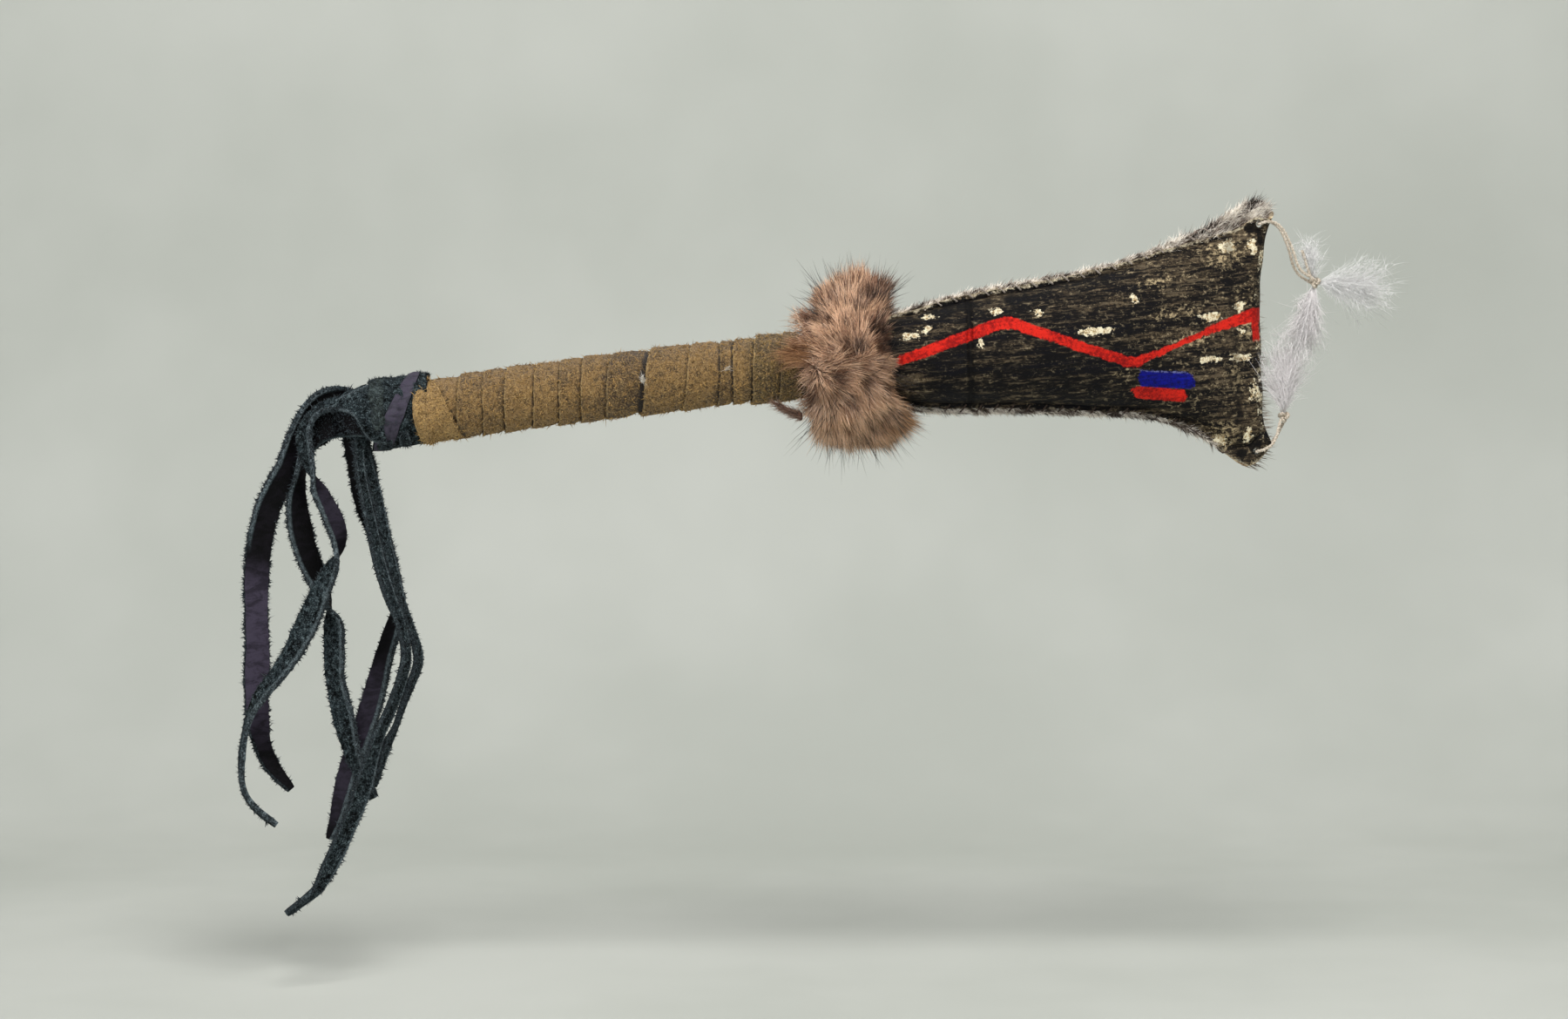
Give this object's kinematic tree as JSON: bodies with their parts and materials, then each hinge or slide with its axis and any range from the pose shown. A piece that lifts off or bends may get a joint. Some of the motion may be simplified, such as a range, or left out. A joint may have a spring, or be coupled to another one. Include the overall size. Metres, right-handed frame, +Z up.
{
  "type": "ceremonial rattle",
  "caption": "Hand rattle with a flared, painted hide head on a suede-wrapped handle, a fur collar, a suede strip fringe and down plumes on twine; loose pebbles inside sound when shaken.",
  "frame": {"origin": "on the handle's centre line, in the middle of the grip, where a hand holds the rattle", "axes": "+X along the handle towards the head, +Z up, the painted side faces -Y"},
  "size_m": [0.4408, 0.0586, 0.2297],
  "materials": {
    "stick_wood": "bare peeled wood",
    "tan_suede": "worn tan suede, matte",
    "green_suede": "dark green suede, smooth on one side",
    "lashing_cord": "plain hide cord",
    "fur_backing": "bare hide",
    "brown_fur": "long soft brown fur",
    "dark_hide": "bare dark hide",
    "painted_hide": "black paint on hide, worn to cream flakes, red and blue lines",
    "lacing_thread": "waxed thread",
    "cream_twine": "twisted natural twine",
    "white_down": "white down",
    "grey_down": "pinkish grey down",
    "pebble_stone": "smooth river pebble, opaque"
  },
  "bodies": {
    "rattle": {"handle_stick": "stick_wood", "handle_wrap": "tan_suede", "butt_binding": "green_suede", "fringe_gather": "green_suede", "neck_lashing": "lashing_cord", "fur_band": "fur_backing", "fur_collar_upper": "brown_fur", "fur_collar_lower": "brown_fur", "fur_strip_end": "dark_hide", "head_hide": "painted_hide", "seam_lacing_upper": "lacing_thread", "seam_lacing_lower": "lacing_thread"},
    "strip_1": {"fringe_strip_1": "green_suede"},
    "strip_2": {"fringe_strip_2": "green_suede"},
    "strip_3": {"fringe_strip_3": "green_suede"},
    "strip_4": {"fringe_strip_4": "green_suede"},
    "strip_5": {"fringe_strip_5": "green_suede"},
    "strip_6": {"fringe_strip_6": "green_suede"},
    "upper_pendant": {"twine_upper": "cream_twine", "twine_upper_knot": "cream_twine", "plume_white": "white_down", "plume_tuft": "white_down", "plume_grey": "grey_down"},
    "lower_pendant": {"twine_lower": "cream_twine", "twine_lower_knot": "cream_twine", "plume_lower": "grey_down"},
    "pebble_1_loose": {"pebble_1": "pebble_stone"},
    "pebble_2_loose": {"pebble_2": "pebble_stone"},
    "pebble_3_loose": {"pebble_3": "pebble_stone"},
    "pebble_4_loose": {"pebble_4": "pebble_stone"},
    "pebble_5_loose": {"pebble_5": "pebble_stone"}
  },
  "joints": [
    {"name": "strip_1_swing", "type": "hinge", "parent": "rattle", "child": "strip_1", "pos_m": [-0.0955, 0, 0.00427], "axis": [0, 1, 0], "range_deg": [-30, 15]},
    {"name": "strip_2_swing", "type": "hinge", "parent": "rattle", "child": "strip_2", "pos_m": [-0.0955, 0, -0.00233], "axis": [0, 1, 0], "range_deg": [-25, 20]},
    {"name": "strip_3_swing", "type": "hinge", "parent": "rattle", "child": "strip_3", "pos_m": [-0.0955, 0, 0.00087], "axis": [0, 1, 0], "range_deg": [-30, 15]},
    {"name": "strip_4_swing", "type": "hinge", "parent": "rattle", "child": "strip_4", "pos_m": [-0.0967, 0, -0.00523], "axis": [0, 1, 0], "range_deg": [-4, 30]},
    {"name": "strip_5_swing", "type": "hinge", "parent": "rattle", "child": "strip_5", "pos_m": [-0.0945, 0, -0.00623], "axis": [0, 1, 0], "range_deg": [-4, 30]},
    {"name": "strip_6_swing", "type": "hinge", "parent": "rattle", "child": "strip_6", "pos_m": [-0.0951, 0, -0.00623], "axis": [0, 1, 0], "range_deg": [-4, 30]},
    {"name": "upper_pendant_swing", "type": "hinge", "parent": "rattle", "child": "upper_pendant", "pos_m": [0.2403, 0, 0.03756], "axis": [0, 1, 0], "range_deg": [-60, 5]},
    {"name": "lower_pendant_swing", "type": "hinge", "parent": "rattle", "child": "lower_pendant", "pos_m": [0.2325, 0, -0.04519], "axis": [0, 1, 0], "range_deg": [-2, 60]},
    {"name": "pebble_1_bounce", "type": "slide", "parent": "rattle", "child": "pebble_1_loose", "axis": [0, 0, 1], "range_m": [0, 0.0285]},
    {"name": "pebble_2_bounce", "type": "slide", "parent": "rattle", "child": "pebble_2_loose", "axis": [0, 0, 1], "range_m": [0, 0.0314]},
    {"name": "pebble_3_bounce", "type": "slide", "parent": "rattle", "child": "pebble_3_loose", "axis": [0, 0, 1], "range_m": [0, 0.033]},
    {"name": "pebble_4_bounce", "type": "slide", "parent": "rattle", "child": "pebble_4_loose", "axis": [0, 0, 1], "range_m": [0, 0.0364]},
    {"name": "pebble_5_bounce", "type": "slide", "parent": "rattle", "child": "pebble_5_loose", "axis": [0, 0, 1], "range_m": [0, 0.038]}
  ]
}
